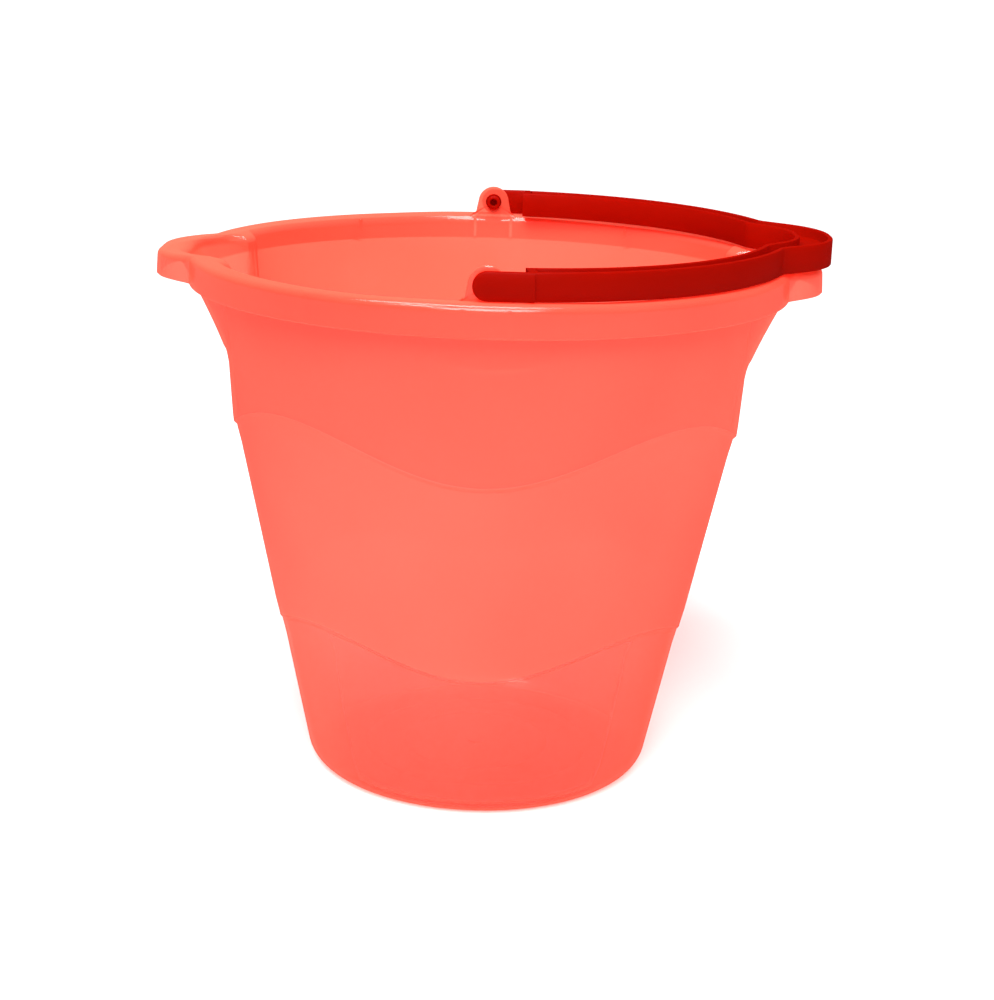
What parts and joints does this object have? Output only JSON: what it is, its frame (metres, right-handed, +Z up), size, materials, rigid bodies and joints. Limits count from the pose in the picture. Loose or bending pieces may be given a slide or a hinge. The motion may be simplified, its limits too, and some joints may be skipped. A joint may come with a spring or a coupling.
{
  "type": "sand bucket",
  "caption": "Translucent tapered beach bucket with two pouring spouts, a skirted rim, wavy banded walls and a folding bail handle.",
  "frame": {"origin": "centre of the underside, on the surface the bucket stands on", "axes": "+Z up along the bucket's axis; +X towards the spout that the handle is folded over; the ears are at +Y and -Y"},
  "size_m": [0.2674, 0.24, 0.2258],
  "materials": {
    "tub_plastic": "translucent coral red polypropylene, glossy with a frosted middle band",
    "handle_plastic": "opaque deep red polypropylene, satin gloss"
  },
  "bodies": {
    "tub": {"tub": "tub_plastic"},
    "handle": {"handle": "handle_plastic"}
  },
  "joints": [
    {"name": "handle_swing", "type": "hinge", "parent": "tub", "child": "handle", "pos_m": [0, 0, 0.219], "axis": [0, -1, 0], "range_deg": [0, 180]}
  ]
}
